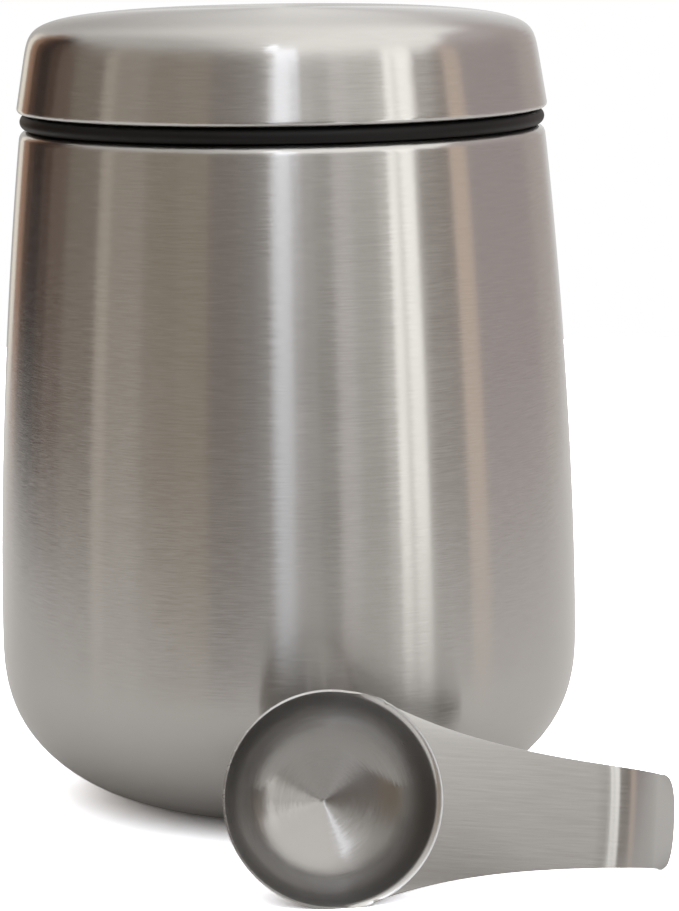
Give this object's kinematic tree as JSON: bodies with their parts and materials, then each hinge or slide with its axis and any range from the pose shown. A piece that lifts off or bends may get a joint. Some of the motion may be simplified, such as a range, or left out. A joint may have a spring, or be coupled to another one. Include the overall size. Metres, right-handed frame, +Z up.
{
  "type": "coffee canister",
  "caption": "Brushed steel coffee canister with rounded belly, domed lift-off lid, black sealing ring and a bent-handled measuring scoop.",
  "frame": {"origin": "centre of the flat face under the anti-slip pad, on which the canister stands", "axes": "+Z up along the canister's axis of revolution; the front, where the scoop stands, faces -Y; +X is to the right seen from the front"},
  "size_m": [0.1465, 0.1675, 0.178],
  "materials": {
    "steel": "brushed around the axis, satin",
    "silicone": "satin black",
    "plastic": "fine matt black",
    "rubber": "matt black"
  },
  "bodies": {
    "canister": {"canister_body": "steel", "base_pad": "rubber"},
    "lid": {"lid_shell": "steel", "lid_plug": "plastic", "lid_seal": "silicone"},
    "scoop": {"scoop": "steel"}
  },
  "joints": [
    {"name": "lid_lift", "type": "slide", "parent": "canister", "child": "lid", "axis": [0, 0, 1], "range_m": [0, 0.06]},
    {"name": "scoop_lift", "type": "slide", "parent": "canister", "child": "scoop", "axis": [0, -0.6, 0.8], "range_m": [0, 0.12]}
  ]
}
